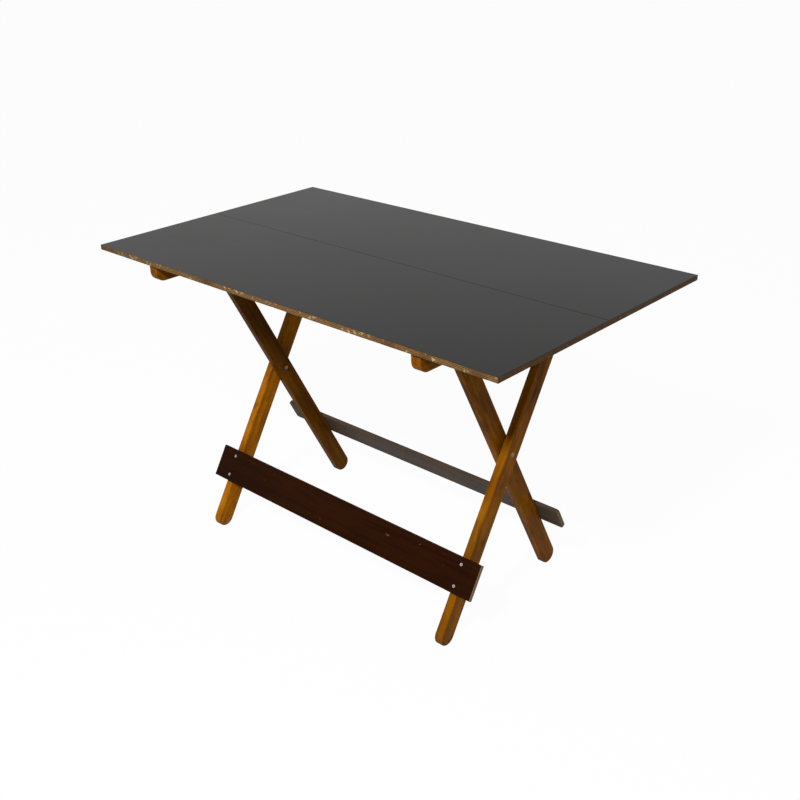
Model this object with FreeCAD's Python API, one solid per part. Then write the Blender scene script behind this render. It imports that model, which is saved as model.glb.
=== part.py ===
import FreeCAD, Part
import math
import os

# Folding table: a two-board plywood top on two cross battens, carried by a front-footed
# outer leg frame and a rear-footed inner leg frame that cross and pivot like scissors.
# Millimetres. X runs along the table, -Y is the front edge, +Z is up.
# The origin is on the floor under the middle of the top.

V = FreeCAD.Vector

# Top
top_length = 1200.0
top_depth = 700.0
top_height = 750.0
panel_thickness = 12.0
panel_seam = 0.4
panel_edge_radius = 0.8

# Battens under the top
batten_length = 686.0
batten_width = 25.0
batten_height = 40.0
batten_end_radius = 22.0
batten_edge_radius = 2.0

# Legs
frame_width = 780.0
leg_width = 45.0
leg_thickness = 20.0
leg_edge_radius = 2.5
hinge_y = 185.0
seat_y = -185.0
front_foot_y = -232.0
rear_foot_y = 178.0
hinge_top_gap = 1.0
seat_top_gap = 0.3

# Stretcher boards, each with how far it stands out past the leg frame on the left and right
front_overhang = (40.0, 40.0)
front_board_width = 82.0
front_board_rise = 138.0
rear_overhang = (100.0, 40.0)
rear_board_width = 64.0
rear_board_rise = 152.0
rear_corner_radius = 7.0
stretcher_thickness = 10.0
stretcher_edge_radius = 1.2
screw_edge_distance = 16.0

# Dowel between the inner legs and the cleats that stop them
dowel_diameter = 25.0
dowel_inset = 0.5
dowel_clearance = 0.05
cleat_length = 60.0
cleat_depth = 25.0
cleat_height = 22.0
cleat_gap = 0.5
cleat_edge_radius = 2.0
nail_diameter = 3.0
nail_head_diameter = 6.0
nail_head_height = 1.0
nail_length = 28.0

# Bolts, nuts and washers
bolt_diameter = 6.0
bolt_clearance = 0.05
hinge_head_diameter = 16.0
hinge_head_height = 4.0
scissor_head_diameter = 13.0
scissor_head_height = 3.2
nut_across_flats = 10.0
nut_height = 5.0
nut_recess_diameter = 14.0
nut_recess_depth = 6.5
washer_diameter = 14.0
washer_thickness = 1.0
washer_play = 0.1

# Wood screws
screw_head_diameter = 7.0
screw_shank_diameter = 4.0
screw_point_length = 5.0
screw_clearance = 0.05
cross_length = 4.0
cross_width = 0.9
cross_depth = 1.2
stretcher_screw_length = 40.0
batten_screw_length = 48.0
batten_screw_rows = (70.0, 260.0)
cleat_screw_length = 30.0
cleat_screw_spacing = 36.0

# Places worked out from the sizes above
panel_underside = top_height - panel_thickness
washer_gap = washer_thickness + 2 * washer_play
leg_end_radius = leg_width / 2
outer_leg_x = frame_width / 2 - leg_thickness / 2
inner_leg_x = outer_leg_x - leg_thickness - washer_gap
batten_x = frame_width / 2 + washer_gap + batten_width / 2
hinge_z = panel_underside - hinge_top_gap - leg_end_radius
seat_z = panel_underside - seat_top_gap - leg_end_radius
foot_z = leg_end_radius
front_lean = math.atan2(hinge_y - front_foot_y, hinge_z - foot_z)
rear_lean = math.atan2(rear_foot_y - seat_y, seat_z - foot_z)
scissor_z = foot_z + (rear_foot_y - front_foot_y) / (math.tan(front_lean) + math.tan(rear_lean))
scissor_y = front_foot_y + (scissor_z - foot_z) * math.tan(front_lean)
screw_head_height = (screw_head_diameter - screw_shank_diameter) / 2
outer_leg_inside = outer_leg_x - leg_thickness / 2
inner_leg_inside = inner_leg_x - leg_thickness / 2
batten_outside = batten_x + batten_width / 2
batten_low = panel_underside - batten_height
cleat_low = panel_underside - cleat_height
cleat_y = seat_y - leg_end_radius - cleat_gap - cleat_depth / 2
bolt_bore = bolt_diameter / 2 + bolt_clearance
dowel_end = inner_leg_x + leg_thickness / 2 - dowel_inset
SIDES = (("left", -1), ("right", 1))

# How near to nothing a length on an edge has to be to count as none
same = 0.01


def save(name, *solids):
    shape = solids[0] if len(solids) == 1 else Part.makeCompound(list(solids))
    shape.exportStep(os.path.join("parts", name + ".step"))


def box(size, centre):
    corner = V(*centre) - V(*size) * 0.5
    return Part.makeBox(*size, corner)


def eased(solid, radius, keep=lambda edge: True):
    return solid.makeFillet(radius, [edge for edge in solid.Edges if keep(edge)])


def rod_x(radius, x_start, x_end, y, z):
    low, high = sorted((x_start, x_end))
    return Part.makeCylinder(radius, high - low, V(low, y, z), V(1, 0, 0))


def revolved(points):
    """Solid of revolution about local Z through (radius, height) points."""
    corners = [V(r, 0, z) for r, z in points]
    wire = Part.makePolygon(corners + corners[:1])
    return Part.Face(wire).revolve(V(0, 0, 0), V(0, 0, 1), 360)


def placed(solid, position, direction):
    """Moves a solid made along local +Z so that +Z points along direction."""
    turn = FreeCAD.Rotation(V(0, 0, 1), direction)
    moved = solid.copy()
    moved.Placement = FreeCAD.Placement(position, turn)
    return moved


# Fasteners, made with the head at local z = 0 and the body running to -z

def screw(length, grow=0.0):
    head = screw_head_diameter / 2 + grow
    shank = screw_shank_diameter / 2 + grow
    tip = length + grow
    body = revolved([(0, 0), (head, 0), (shank, -screw_head_height),
                     (shank, -length + screw_point_length), (0, -tip)])
    if grow:
        return body
    for turn in ((cross_length, cross_width), (cross_width, cross_length)):
        body = body.cut(box((*turn, 2 * cross_depth), (0, 0, 0)))
    return body


def dome_head(diameter, height):
    """Mushroom head that stands on local z = 0, a slice of a ball."""
    ball = (diameter * diameter / 4 + height * height) / (2 * height)
    sphere = Part.makeSphere(ball, V(0, 0, height - ball))
    return sphere.common(Part.makeCylinder(diameter, height))


def bolt(head_diameter, head_height, length):
    shank = Part.makeCylinder(bolt_diameter / 2, length, V(0, 0, -length))
    return dome_head(head_diameter, head_height).fuse(shank).removeSplitter()


def nut():
    corner = nut_across_flats / 2 / math.cos(math.pi / 6)
    angles = [k * math.pi / 3 for k in range(7)]
    corners = [V(corner * math.cos(angle), corner * math.sin(angle), 0) for angle in angles]
    prism = Part.Face(Part.makePolygon(corners)).extrude(V(0, 0, nut_height))
    return prism.cut(Part.makeCylinder(bolt_bore, nut_height))


def washer():
    ring = Part.makeCylinder(washer_diameter / 2, washer_thickness)
    return ring.cut(Part.makeCylinder(bolt_bore, washer_thickness))


def nail():
    head = Part.makeCylinder(nail_head_diameter / 2, nail_head_height)
    shank = Part.makeCylinder(nail_diameter / 2, nail_length, V(0, 0, -nail_length))
    return head.fuse(shank).removeSplitter()


def nail_hole():
    depth = nail_length + screw_clearance
    return Part.makeCylinder(nail_diameter / 2 + screw_clearance, depth, V(0, 0, -depth))


# Top boards, battens and cleats

def top_panel(side):
    depth = (top_depth - panel_seam) / 2
    middle = (0, side * (panel_seam + depth) / 2, top_height - panel_thickness / 2)
    return eased(box((top_length, depth, panel_thickness), middle), panel_edge_radius)


def batten(side):
    half = batten_length / 2
    bend = batten_end_radius
    slant = bend * math.sqrt(0.5)
    turn_z = batten_low + bend
    start_x = side * batten_x - batten_width / 2

    def at(y, z):
        return V(start_x, y, z)

    front = bend - half
    rear = half - bend
    outline = Part.Wire([
        Part.LineSegment(at(-half, panel_underside), at(-half, turn_z)).toShape(),
        Part.Arc(at(-half, turn_z), at(front - slant, turn_z - slant), at(front, batten_low)).toShape(),
        Part.LineSegment(at(front, batten_low), at(rear, batten_low)).toShape(),
        Part.Arc(at(rear, batten_low), at(rear + slant, turn_z - slant), at(half, turn_z)).toShape(),
        Part.LineSegment(at(half, turn_z), at(half, panel_underside)).toShape(),
        Part.LineSegment(at(half, panel_underside), at(-half, panel_underside)).toShape(),
    ])
    bar = Part.Face(outline).extrude(V(batten_width, 0, 0))

    def lower_side(edge):
        return edge.BoundBox.XLength < same and edge.BoundBox.ZMin < panel_underside - same

    return eased(bar, batten_edge_radius, lower_side)


def cleat(side):
    middle = (side * inner_leg_x, cleat_y, panel_underside - cleat_height / 2)
    block = box((cleat_length, cleat_depth, cleat_height), middle)
    return eased(block, cleat_edge_radius, lambda edge: edge.BoundBox.ZMax < cleat_low + same)


# Legs: a bar with round ends, drawn upright in its own plane and then leaned

def leg(x, foot_y, head_y, head_z):
    length = math.hypot(head_y - foot_y, head_z - foot_z)
    r = leg_end_radius

    def at(y, z):
        return V(-leg_thickness / 2, y, z)

    outline = Part.Wire([
        Part.LineSegment(at(-r, 0), at(-r, length)).toShape(),
        Part.Arc(at(-r, length), at(0, length + r), at(r, length)).toShape(),
        Part.LineSegment(at(r, length), at(r, 0)).toShape(),
        Part.Arc(at(r, 0), at(0, -r), at(-r, 0)).toShape(),
    ])
    bar = Part.Face(outline).extrude(V(leg_thickness, 0, 0))
    bar = eased(bar, leg_edge_radius, lambda edge: edge.BoundBox.XLength < same)
    direction = V(0, head_y - foot_y, head_z - foot_z)
    return placed(bar, V(x, foot_y, foot_z), direction)


def along(lean, foot_y, rise, out):
    """Point at a distance up a leg from its foot centre and out from its middle plane."""
    return V(0, foot_y + rise * math.sin(lean) + out * math.cos(lean),
             foot_z + rise * math.cos(lean) - out * math.sin(lean))


def stretcher(lean, foot_y, face, overhang, width, rise, corner_radius=0.0):
    """Board across two legs, on the face whose outward side is face (-1 or 1) in Y."""
    left = -frame_width / 2 - overhang[0]
    right = frame_width / 2 + overhang[1]
    size = (right - left, stretcher_thickness, width)
    board = box(size, ((left + right) / 2, 0, 0))
    if corner_radius:
        board = eased(board, corner_radius, lambda edge: edge.BoundBox.YLength > same)
    board = eased(board, stretcher_edge_radius, lambda edge: edge.BoundBox.YLength < same)
    out = face * (leg_end_radius + stretcher_thickness / 2)
    up = V(0, math.sin(lean), math.cos(lean))
    return placed(board, along(lean, foot_y, rise, out), up)


def stretcher_screws(lean, foot_y, face, x, width, rise, grow=0.0):
    out = face * (leg_end_radius + stretcher_thickness)
    outward = V(0, face * math.cos(lean), -face * math.sin(lean))
    reach = width / 2 - screw_edge_distance
    points = [along(lean, foot_y, rise + step, out) + V(side * x, 0, 0)
              for side in (-1, 1) for step in (-reach, reach)]
    return [placed(screw(stretcher_screw_length, grow), point, outward) for point in points]


def upward_screws(points, length, grow=0.0):
    return [placed(screw(length, grow), V(*point), V(0, 0, -1)) for point in points]


def drilled(solid, tools):
    for tool in tools:
        solid = solid.cut(tool)
    return solid


os.makedirs("parts", exist_ok=True)

# Where the upward screws stand
batten_points = [(side * batten_x, y_side * row, batten_low)
                 for side in (-1, 1) for y_side in (-1, 1) for row in batten_screw_rows]
cleat_points = [(side * inner_leg_x + offset * cleat_screw_spacing / 2, cleat_y, cleat_low)
                for side in (-1, 1) for offset in (-1, 1)]
top_holes = (upward_screws(batten_points, batten_screw_length, screw_clearance)
             + upward_screws(cleat_points, cleat_screw_length, screw_clearance))

# Top body
save("front_top_panel", drilled(top_panel(-1), top_holes))
save("rear_top_panel", drilled(top_panel(1), top_holes))
save("batten_screws", *upward_screws(batten_points, batten_screw_length))
save("cleat_screws", *upward_screws(cleat_points, cleat_screw_length))
hinge_washers = []
hinge_nuts = []
for name, side in SIDES:
    hinge_bore = rod_x(bolt_bore, side * outer_leg_x, side * (batten_x + batten_width), hinge_y, hinge_z)
    save(name + "_batten", drilled(batten(side), top_holes + [hinge_bore]))
    save(name + "_stop_cleat", drilled(cleat(side), top_holes))
    outside = V(side, 0, 0)
    head_seat = V(side * batten_outside, hinge_y, hinge_z)
    hinge_length = batten_outside - outer_leg_inside - washer_play
    save(name + "_hinge_bolt",
         placed(bolt(hinge_head_diameter, hinge_head_height, hinge_length), head_seat, outside))
    washer_seat = V(side * (frame_width / 2 + washer_play), hinge_y, hinge_z)
    hinge_washers.append(placed(washer(), washer_seat, outside))
    nut_seat = V(side * (outer_leg_inside + nut_recess_depth - nut_height - washer_play), hinge_y, hinge_z)
    hinge_nuts.append(placed(nut(), nut_seat, outside))
save("hinge_washers", *hinge_washers)
save("hinge_nuts", *hinge_nuts)

# Outer leg frame, feet at the front, hinged to the battens at the rear
front_board = (front_board_width, front_board_rise)
front_holes = stretcher_screws(front_lean, front_foot_y, -1, outer_leg_x, *front_board, screw_clearance)
front_solid = stretcher(front_lean, front_foot_y, -1, front_overhang, *front_board)
save("front_stretcher", drilled(front_solid, front_holes))
save("front_stretcher_screws", *stretcher_screws(front_lean, front_foot_y, -1, outer_leg_x, *front_board))
scissor_washers = []
scissor_nuts = []
for name, side in SIDES:
    outside = V(side, 0, 0)
    hinge_bore = rod_x(bolt_bore, side * outer_leg_inside, side * frame_width / 2, hinge_y, hinge_z)
    recess_end = side * (outer_leg_inside + nut_recess_depth)
    recess = rod_x(nut_recess_diameter / 2, side * outer_leg_inside, recess_end, hinge_y, hinge_z)
    scissor_bore = rod_x(bolt_bore, 0, side * frame_width, scissor_y, scissor_z)
    bar = leg(side * outer_leg_x, front_foot_y, hinge_y, hinge_z)
    save(name + "_outer_leg", drilled(bar, front_holes + [hinge_bore, recess, scissor_bore]))
    scissor_length = frame_width / 2 - inner_leg_inside + washer_play + nut_height
    head_seat = V(side * frame_width / 2, scissor_y, scissor_z)
    save(name + "_scissor_bolt",
         placed(bolt(scissor_head_diameter, scissor_head_height, scissor_length), head_seat, outside))
    washer_seat = V(side * (outer_leg_inside - washer_play), scissor_y, scissor_z)
    scissor_washers.append(placed(washer(), washer_seat, outside * -1))
    nut_seat = V(side * (inner_leg_inside - washer_play), scissor_y, scissor_z)
    scissor_nuts.append(placed(nut(), nut_seat, outside * -1))
save("scissor_washers", *scissor_washers)
save("scissor_nuts", *scissor_nuts)

# Inner leg frame, feet at the rear, dowel at the front under the top
rear_board = (rear_board_width, rear_board_rise)
rear_holes = stretcher_screws(-rear_lean, rear_foot_y, 1, inner_leg_x, *rear_board, screw_clearance)
rear_solid = stretcher(-rear_lean, rear_foot_y, 1, rear_overhang, *rear_board, rear_corner_radius)
save("rear_stretcher", drilled(rear_solid, rear_holes))
save("rear_stretcher_screws", *stretcher_screws(-rear_lean, rear_foot_y, 1, inner_leg_x, *rear_board))
dowel_bore = rod_x(dowel_diameter / 2 + dowel_clearance, -frame_width, frame_width, seat_y, seat_z)
down_leg = V(0, rear_foot_y - seat_y, foot_z - seat_z)
across_leg = V(0, down_leg.z, -down_leg.y)
across_leg.normalize()
nails = []
nail_holes = []
for name, side in SIDES:
    nail_seat = V(side * inner_leg_x, seat_y, seat_z) + across_leg * leg_end_radius
    nails.append(placed(nail(), nail_seat, across_leg))
    nail_holes.append(placed(nail_hole(), nail_seat, across_leg))
    scissor_bore = rod_x(bolt_bore, 0, side * frame_width, scissor_y, scissor_z)
    bar = leg(side * inner_leg_x, rear_foot_y, seat_y, seat_z)
    save(name + "_inner_leg", drilled(bar, rear_holes + [dowel_bore, scissor_bore, nail_holes[-1]]))
save("top_dowel", drilled(rod_x(dowel_diameter / 2, -dowel_end, dowel_end, seat_y, seat_z), nail_holes))
save("dowel_nails", *nails)

print("hinge", hinge_y, hinge_z, "scissor", scissor_y, scissor_z)
print("lean", math.degrees(front_lean), math.degrees(rear_lean))
print("outer_leg_x", outer_leg_x, "inner_leg_x", inner_leg_x, "batten_x", batten_x)
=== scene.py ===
# Folding table: the CAD solids keep their shape, and every piece gets its own finish here.
import bpy
import math
import numpy as np
from mathutils import Matrix, Vector

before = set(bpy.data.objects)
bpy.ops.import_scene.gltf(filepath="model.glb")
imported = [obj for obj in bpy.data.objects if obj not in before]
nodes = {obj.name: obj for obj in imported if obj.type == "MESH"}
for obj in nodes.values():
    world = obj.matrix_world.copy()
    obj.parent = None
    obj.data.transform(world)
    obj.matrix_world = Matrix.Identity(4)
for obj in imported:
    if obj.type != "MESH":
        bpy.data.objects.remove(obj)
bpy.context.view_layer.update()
print("frame loaded, pieces:", len(nodes))


class Value:  # one shader socket that takes part in sums
    def __init__(self, graph, socket):
        self.graph = graph
        self.socket = socket

    def calc(self, operation, first, second):
        return self.graph.node("ShaderNodeMath", {"operation": operation}, {0: first, 1: second})

    def __add__(self, other):
        return self.calc("ADD", self, other)

    def __sub__(self, other):
        return self.calc("SUBTRACT", self, other)

    def __rsub__(self, other):
        return self.calc("SUBTRACT", other, self)

    def __mul__(self, other):
        return self.calc("MULTIPLY", self, other)

    __radd__ = __add__
    __rmul__ = __mul__

    def rise(self, low, high):  # 0 below low, 1 above high, smooth between
        inputs = {"Value": self, "From Min": low, "From Max": high}
        return self.graph.node("ShaderNodeMapRange", {"interpolation_type": "SMOOTHSTEP"}, inputs)

    def wave(self):  # swings between 0 and 1
        return self.graph.node("ShaderNodeMath", {"operation": "SINE"}, {0: self}) * 0.5 + 0.5


class Graph:  # the shader nodes of one material or of the world
    def __init__(self, owner):
        owner.use_nodes = True
        self.owner = owner
        self.tree = owner.node_tree
        self.tree.nodes.clear()

    def node(self, kind, settings=None, inputs=None, out=0):
        made = self.tree.nodes.new(kind)
        for key, value in (settings or {}).items():
            if key == "stops":
                self.setStops(made.color_ramp, value)
            else:
                setattr(made, key, value)
        for key, value in (inputs or {}).items():
            if isinstance(value, Value):
                self.tree.links.new(value.socket, made.inputs[key])
            else:
                made.inputs[key].default_value = value
        return Value(self, made.outputs[out]) if made.outputs else None

    def setStops(self, ramp, stops):
        while len(ramp.elements) < len(stops):
            ramp.elements.new(0.5)
        for element, (position, colour) in zip(ramp.elements, stops):
            element.position = position
            element.color = (*colour, 1.0)

    def place(self):
        return self.node("ShaderNodeTexCoord", out="Object")

    def rays(self):  # what looks at the surface: the camera, or a glossy piece
        return [self.node("ShaderNodeLightPath", out=kind) for kind in ("Is Camera Ray", "Is Glossy Ray")]

    def along(self, axis):
        return self.node("ShaderNodeSeparateXYZ", None, {"Vector": self.place()}, axis)

    def turned(self, source, turn=(0, 0, 0), shift=(0, 0, 0)):
        return self.node("ShaderNodeMapping", None, {"Vector": source, "Rotation": turn, "Location": shift})

    def grain(self, source, scale, detail=4.0, rough=0.55, warp=0.0):  # scale is one number or one per axis
        if isinstance(scale, tuple):
            source = self.node("ShaderNodeMapping", None, {"Vector": source, "Scale": scale})
            scale = 1.0
        inputs = {"Vector": source, "Scale": scale, "Detail": detail, "Roughness": rough, "Distortion": warp}
        return self.node("ShaderNodeTexNoise", None, inputs)

    def mix(self, amount, first, second):
        first = (*first, 1.0) if isinstance(first, tuple) else first
        second = (*second, 1.0) if isinstance(second, tuple) else second
        return self.node("ShaderNodeMix", {"data_type": "RGBA"}, {0: amount, 6: first, 7: second}, 2)

    def close(self, colour, roughness, height, bump, fixed):
        strength, distance = bump
        relief = {"Height": height, "Strength": strength, "Distance": distance}
        lump = self.node("ShaderNodeBump", None, relief)
        inputs = {"Base Color": colour, "Roughness": roughness, "Normal": lump, **fixed}
        shader = self.node("ShaderNodeBsdfPrincipled", None, inputs)
        self.node("ShaderNodeOutputMaterial", None, {"Surface": shader})
        return self.owner


def newFinish(name):
    return Graph(bpy.data.materials.new(name))


def dress(name, material):
    piece = nodes[name]
    piece.data.materials.clear()
    piece.data.materials.append(material)


# Top boards: satin dark film on both faces, bare stained plies on the edges.
# Each grain is its scale, detail and roughness, and skin is where a face starts and ends under its surface.
topLook = {
    "film": (0.0028, 0.0025, 0.0023), "worn": (0.0080, 0.0074, 0.0070),
    "plyDark": (0.022, 0.009, 0.002), "plyPale": (0.165, 0.088, 0.027),
    "chip": (0.50, 0.36, 0.20), "stain": (0.030, 0.012, 0.003),
    "low": 0.738, "high": 0.750, "end": 0.600, "skin": (0.0004, 0.0009), "plies": 7,
    "chipShare": 0.55, "stainShare": 0.6, "endStain": 0.72,
    "gloss": 0.28, "shine": 0.09, "bump": (0.35, 0.0006),
    "cloud": (3.2, 5.0, 0.6), "grit": (900.0, 2.0), "wear": (2.1, 2.0),
    "rub": ((5.0, 170.0, 1.0), 6.0, 0.7), "crossRub": ((4.0, 210.0, 1.0), 6.0, 0.7), "crossTurn": (0, 0, 0.7),
    "wobble": (26.0, 3.0), "fibre": ((60.0, 60.0, 900.0), 5.0, 0.7),
    "chips": (110.0, 4.0, 0.65), "stains": (14.0, 5.0, 0.65),
}


def topFinish(name, look, shift):
    f = newFinish(name)
    place = f.turned(f.place(), shift=shift)
    height = f.along(2)
    shallow, deep = look["skin"]
    cloud = f.grain(place, *look["cloud"])
    grit = f.grain(place, *look["grit"])
    rub = f.grain(place, *look["rub"]).rise(0.60, 0.74)
    crossRub = f.grain(f.turned(place, look["crossTurn"]), *look["crossRub"]).rise(0.64, 0.78)
    scratch = (rub + crossRub) * f.grain(place, *look["wear"]).rise(0.45, 0.75)
    film = f.mix(cloud.rise(0.35, 0.75) * 0.5 + scratch * 0.35, look["film"], look["worn"])
    layer = (height - look["low"]) * (look["plies"] * math.pi / (look["high"] - look["low"]))
    band = (layer + f.grain(place, *look["wobble"]) * 0.6).wave()
    fibre = f.grain(place, *look["fibre"])
    ply = f.mix((band * 0.8 + fibre * 1.3 - 0.45).rise(0.0, 1.0), look["plyDark"], look["plyPale"])
    chip = f.grain(place, *look["chips"]).rise(0.58, 0.66)
    ply = f.mix(chip * look["chipShare"], ply, look["chip"])
    stain = f.grain(place, *look["stains"]).rise(0.46, 0.66) * look["stainShare"]
    onEnd = f.along(0).rise(look["end"] - deep, look["end"] - shallow)  # the right end is darker
    ply = f.mix(stain + onEnd * look["endStain"] * (1.0 - stain), ply, look["stain"])
    onFace = height.rise(look["high"] - deep, look["high"] - shallow)
    under = 1.0 - height.rise(look["low"] + shallow, look["low"] + deep)
    faces = onFace + under
    edges = 1.0 - faces
    colour = f.mix(faces, ply, film)
    roughness = look["gloss"] + cloud * 0.10 + scratch * 0.12 + edges * 0.28
    bumps = grit * 0.05 + edges * (fibre * 0.8 + band * 0.3) - scratch * 0.05
    return f.close(colour, roughness, bumps, look["bump"], {"Specular IOR Level": look["shine"]})


dress("front_top_panel", topFinish("darkFilmFront", topLook, (0.0, 0.0, 0.0)))
dress("rear_top_panel", topFinish("darkFilmRear", topLook, (3.7, 1.3, 0.0)))
print("top boards done")

# Varnished sticks: legs, battens, cleats and dowel. The turn lays Z along the stick.
stickLook = {
    "stops": ((0.26, (0.110, 0.028, 0.0008)), (0.52, (0.270, 0.086, 0.0015)), (0.82, (0.430, 0.165, 0.0050))),
    "streak": (0.038, 0.010, 0.0010), "scuff": (0.055, 0.030, 0.014), "scuffLow": 0.002, "scuffTop": 0.045,
    "poreShare": 0.40, "patchShare": 0.50, "knotShare": 0.7, "scuffShare": 0.65,
    "gloss": 0.28, "shine": 0.02, "bump": (0.30, 0.0005), "ringCount": 34.0,
    "figure": ((26.0, 26.0, 1.3), 3.0, 0.5, 0.8), "fibre": ((330.0, 330.0, 9.0), 5.0, 0.7),
    "pores": ((900.0, 900.0, 26.0), 2.0), "cloud": (6.0, 3.0), "blotch": ((30.0, 30.0, 5.0), 4.0, 0.6),
    "patches": ((24.0, 24.0, 8.0), 4.0, 0.65, 0.5), "knots": ((30.0, 30.0, 9.0), 1.0),
    "scuffs": (60.0, 4.0, 0.65),
}


def stickFinish(name, look, turn, shift, woodToneAndPaintedLight):
    f = newFinish(name)
    place = f.turned(f.turned(f.place(), turn), shift=shift)
    rings = (f.grain(place, *look["figure"]) * look["ringCount"]).wave()
    fibre = f.grain(place, *look["fibre"])
    pores = f.grain(place, *look["pores"]).rise(0.60, 0.72)
    cloud = f.grain(place, *look["cloud"])
    blotch = f.grain(place, *look["blotch"])
    tone = rings * 0.12 + fibre * 0.42 + cloud * 0.34 + blotch * 0.66 - 0.24
    # Scaling the stops per stick paints light and shade into the colour on top of each stick's own wood tone:
    # sticks the lamps fall on are made lighter, sticks standing in shade darker
    stops = [(position, tuple(part * woodToneAndPaintedLight for part in colour)) for position, colour in look["stops"]]
    colour = f.node("ShaderNodeValToRGB", {"stops": stops}, {"Fac": tone})
    colour = f.mix(pores * look["poreShare"], colour, look["streak"])
    patch = f.grain(place, *look["patches"]).rise(0.50, 0.66)
    colour = f.mix(patch * look["patchShare"], colour, look["streak"])
    knot = f.grain(place, *look["knots"]).rise(0.72, 0.80)
    colour = f.mix(knot * look["knotShare"], colour, look["streak"])
    nearFloor = 1.0 - f.along(2).rise(look["scuffLow"], look["scuffTop"])  # feet are scuffed and dirtied
    scuff = nearFloor * f.grain(place, *look["scuffs"]).rise(0.42, 0.60)
    colour = f.mix(scuff * look["scuffShare"], colour, look["scuff"])
    roughness = look["gloss"] + fibre * 0.16 + cloud * 0.08 + scuff * 0.25
    bumps = fibre * 0.5 - pores * 0.6 + rings * 0.15
    return f.close(colour, roughness, bumps, look["bump"], {"Specular IOR Level": look["shine"]})


# Turns that lay the grain along each kind of stick, then where in the grain it is cut and how dark it is, a
# factor that holds both the stick's own wood tone and painted light and shade
outerTurn = (math.radians(31.0732), 0, 0)
innerTurn = (math.radians(-27.6562), 0, 0)
depthTurn = (math.pi / 2, 0, 0)
lengthTurn = (0, math.pi / 2, 0)
sticks = {
    "left_outer_leg": (outerTurn, (0.3, 0.1, 0.2), 0.92),
    "right_outer_leg": (outerTurn, (1.9, 0.7, 2.2), 0.56),
    "left_inner_leg": (innerTurn, (4.1, 2.3, 1.1), 0.31),
    "right_inner_leg": (innerTurn, (6.4, 3.5, 5.2), 0.56),
    "left_batten": (depthTurn, (2.2, 8.1, 0.4), 0.52),
    "right_batten": (depthTurn, (5.2, 1.1, 3.4), 0.70),
    "left_stop_cleat": (lengthTurn, (7.2, 4.1, 0.4), 0.60),
    "right_stop_cleat": (lengthTurn, (8.2, 6.1, 1.4), 0.60),
    "top_dowel": (lengthTurn, (9.2, 5.1, 2.4), 0.75),
}
for stickName, (turn, shift, woodToneAndPaintedLight) in sticks.items():
    dress(stickName, stickFinish("varnish_" + stickName, stickLook, turn, shift, woodToneAndPaintedLight))
print("sticks done")

# Stretcher boards: dark stained faces, paler sawn ends
boardGrain = {
    "skin": (0.0005, 0.0011), "bump": (0.30, 0.0005), "ringCount": 26.0, "scuffShare": 0.25,
    "fibre": ((7.0, 300.0, 300.0), 5.0, 0.7), "figure": ((1.4, 22.0, 22.0), 3.0, 0.5, 0.9),
    "cloud": (7.0, 4.0), "scuffs": ((40.0, 90.0, 90.0), 4.0, 0.7),
}
frontBoard = {
    **boardGrain, "dark": (0.0070, 0.0014, 0.0002), "pale": (0.0200, 0.0050, 0.0006),
    "edge": (0.22, 0.15, 0.09), "ends": (-0.430, 0.430), "gloss": 0.34, "shine": 0.02,
}
rearBoard = {
    **boardGrain, "dark": (0.030, 0.020, 0.013), "pale": (0.074, 0.050, 0.033),
    "edge": (0.15, 0.105, 0.06), "ends": (-0.490, 0.430), "gloss": 0.42, "shine": 0.06,
}


def boardFinish(name, look, turn, shift):
    f = newFinish(name)
    place = f.turned(f.turned(f.place(), turn), shift=shift)
    fibre = f.grain(place, *look["fibre"])
    rings = (f.grain(place, *look["figure"]) * look["ringCount"]).wave()
    cloud = f.grain(place, *look["cloud"])
    colour = f.mix(rings * 0.30 + fibre * 0.45 + cloud.rise(0.4, 0.8) * 0.35, look["dark"], look["pale"])
    left, right = look["ends"]
    shallow, deep = look["skin"]
    span = f.along(0)
    sawn = span.rise(right - deep, right - shallow) + (1.0 - span.rise(left + shallow, left + deep))
    colour = f.mix(sawn * (0.45 + fibre * 0.5), colour, look["edge"])
    scuff = f.grain(place, *look["scuffs"]).rise(0.66, 0.74)
    colour = f.mix(scuff * look["scuffShare"], colour, look["edge"])
    roughness = look["gloss"] + fibre * 0.18 + sawn * 0.2
    bumps = fibre * 0.6 + rings * 0.15
    return f.close(colour, roughness, bumps, look["bump"], {"Specular IOR Level": look["shine"]})


dress("front_stretcher", boardFinish("darkBoard", frontBoard, outerTurn, (0.4, 0.2, 0.9)))
dress("rear_stretcher", boardFinish("greyBoard", rearBoard, innerTurn, (3.4, 1.2, 2.9)))
print("stretchers done")

# Fasteners: bright screws and nails, and bolts, washers and nuts that are varnished over
steelGrain = {"bump": (0.12, 0.0002), "grain": (700.0, 4.0, 0.6), "stains": (90.0, 3.0), "stainShare": 0.6}
screwLook = {**steelGrain, "bright": (0.36, 0.34, 0.31), "dull": (0.13, 0.115, 0.10), "gloss": 0.30}
boltLook = {**steelGrain, "bright": (0.20, 0.105, 0.050), "dull": (0.075, 0.036, 0.018), "gloss": 0.42}


def steelFinish(name, look):
    f = newFinish(name)
    grain = f.grain(f.place(), *look["grain"])
    stain = f.grain(f.place(), *look["stains"]).rise(0.50, 0.75)
    colour = f.mix(stain * look["stainShare"], look["bright"], look["dull"])
    roughness = look["gloss"] + grain * 0.16 + stain * 0.14
    return f.close(colour, roughness, grain, look["bump"], {"Metallic": 1.0})


screwSteel = steelFinish("fastenerSteel", screwLook)
boltSteel = steelFinish("boltSteel", boltLook)
for nodeName in nodes:
    if any(word in nodeName for word in ("screws", "nails")):
        dress(nodeName, screwSteel)
    if any(word in nodeName for word in ("bolt", "washers", "nuts")):
        dress(nodeName, boltSteel)
print("fasteners done")

# Floor: a sheet that stays white to the camera and still takes a little shadow
floorLook = {"half": 40.0, "cells": 8, "colour": (0.60, 0.60, 0.60, 1.0), "wash": 0.97}
white = (1.0, 1.0, 1.0, 1.0)


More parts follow.
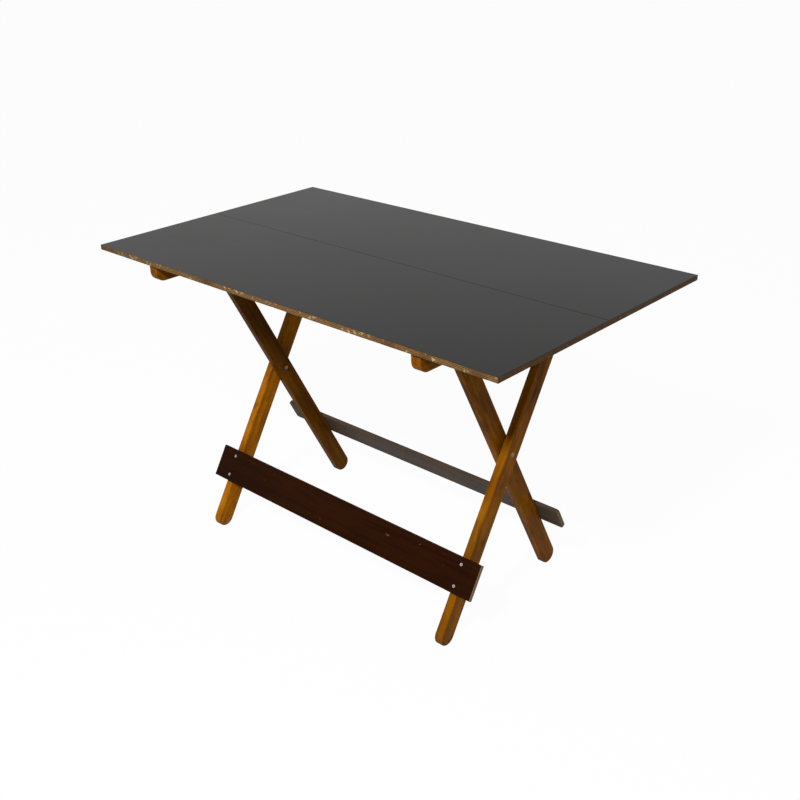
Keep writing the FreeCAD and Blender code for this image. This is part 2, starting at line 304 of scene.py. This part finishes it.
def makeFloor(look):
    cells = look["cells"]
    row = cells + 1
    steps = np.linspace(-look["half"], look["half"], row)
    x, y = np.meshgrid(steps, steps)
    points = np.stack([x.ravel(), y.ravel(), np.zeros(x.size)], 1)
    first = (np.arange(cells)[:, None] * row + np.arange(cells)[None, :]).ravel()
    quads = np.stack([first, first + 1, first + row + 1, first + row], 1)
    mesh = bpy.data.meshes.new("floor")
    mesh.from_pydata(points.tolist(), [], quads.tolist())
    floor = bpy.data.objects.new("floor", mesh)
    bpy.context.scene.collection.objects.link(floor)
    f = newFinish("floorWhite")
    shadow = f.node("ShaderNodeBsdfDiffuse", None, {"Color": look["colour"]})
    glow = f.node("ShaderNodeEmission", None, {"Color": white, "Strength": 1.0})
    camera, glossy = f.rays()
    seen = camera + glossy
    blend = f.node("ShaderNodeMixShader", None, {0: seen * look["wash"], 1: shadow, 2: glow})
    f.node("ShaderNodeOutputMaterial", None, {"Surface": blend})
    mesh.materials.append(f.owner)


makeFloor(floorLook)

# World and lamps: white to the eye, a hard key from the front and soft light from the sides.
# Each lamp is its place, power and width.
worldLook = {"light": 0.20}
lampLook = {
    "aim": (0, 0, 0.4),
    "lamps": {
        "key": ((0.9, -2.6, 3.0), 190.0, 0.40),
        "fill": ((-2.6, -1.2, 2.0), 16.0, 2.2),
        "side": ((2.8, -0.4, 2.2), 22.0, 1.0),
    },
}


def makeWorld(look):
    world = bpy.data.worlds.new("studio")
    bpy.context.scene.world = world
    g = Graph(world)
    camera, glossy = g.rays()
    seen = camera.calc("MAXIMUM", camera, glossy)
    level = g.node("ShaderNodeMapRange", None, {"Value": seen, "To Min": look["light"]})
    sky = g.node("ShaderNodeBackground", None, {"Color": white, "Strength": level})
    g.node("ShaderNodeOutputWorld", None, {"Surface": sky})


def makeLamps(look):
    for name, (spot, power, width) in look["lamps"].items():
        data = bpy.data.lights.new(name, "AREA")
        data.energy = power
        data.size = width
        lamp = bpy.data.objects.new(name, data)
        lamp.location = spot
        lamp.rotation_euler = (Vector(look["aim"]) - Vector(spot)).to_track_quat("-Z", "Y").to_euler()
        bpy.context.scene.collection.objects.link(lamp)


makeWorld(worldLook)
makeLamps(lampLook)

# Camera matched to the photograph, angles in degrees and lens and sensor in millimetres
cameraLook = {
    "turn": 42.784, "lift": 25.5454, "roll": -1.0934, "aim": (0.03333, 0.01283, 0.4), "away": 2.58844,
    "lens": 48.4994, "sensor": 36.0,
}


def placeCamera(look):
    turn, lift, roll = (math.radians(look[key]) for key in ("turn", "lift", "roll"))
    back = Vector((math.sin(turn) * math.cos(lift), -math.cos(turn) * math.cos(lift), math.sin(lift)))
    right = Vector((math.cos(turn), math.sin(turn), 0))
    up = back.cross(right)
    side = right * math.cos(roll) + up * math.sin(roll)
    top = up * math.cos(roll) - right * math.sin(roll)
    data = bpy.data.cameras.new("photoCamera")
    data.lens = look["lens"]
    data.sensor_width = look["sensor"]
    camera = bpy.data.objects.new("photoCamera", data)
    pose = Matrix((side, top, back)).transposed().to_4x4()
    pose.translation = Vector(look["aim"]) + back * look["away"]
    camera.matrix_world = pose
    bpy.context.scene.collection.objects.link(camera)
    bpy.context.scene.camera = camera


placeCamera(cameraLook)
bpy.context.scene.view_settings.view_transform = "Standard"
print("stage, lamps and camera done")
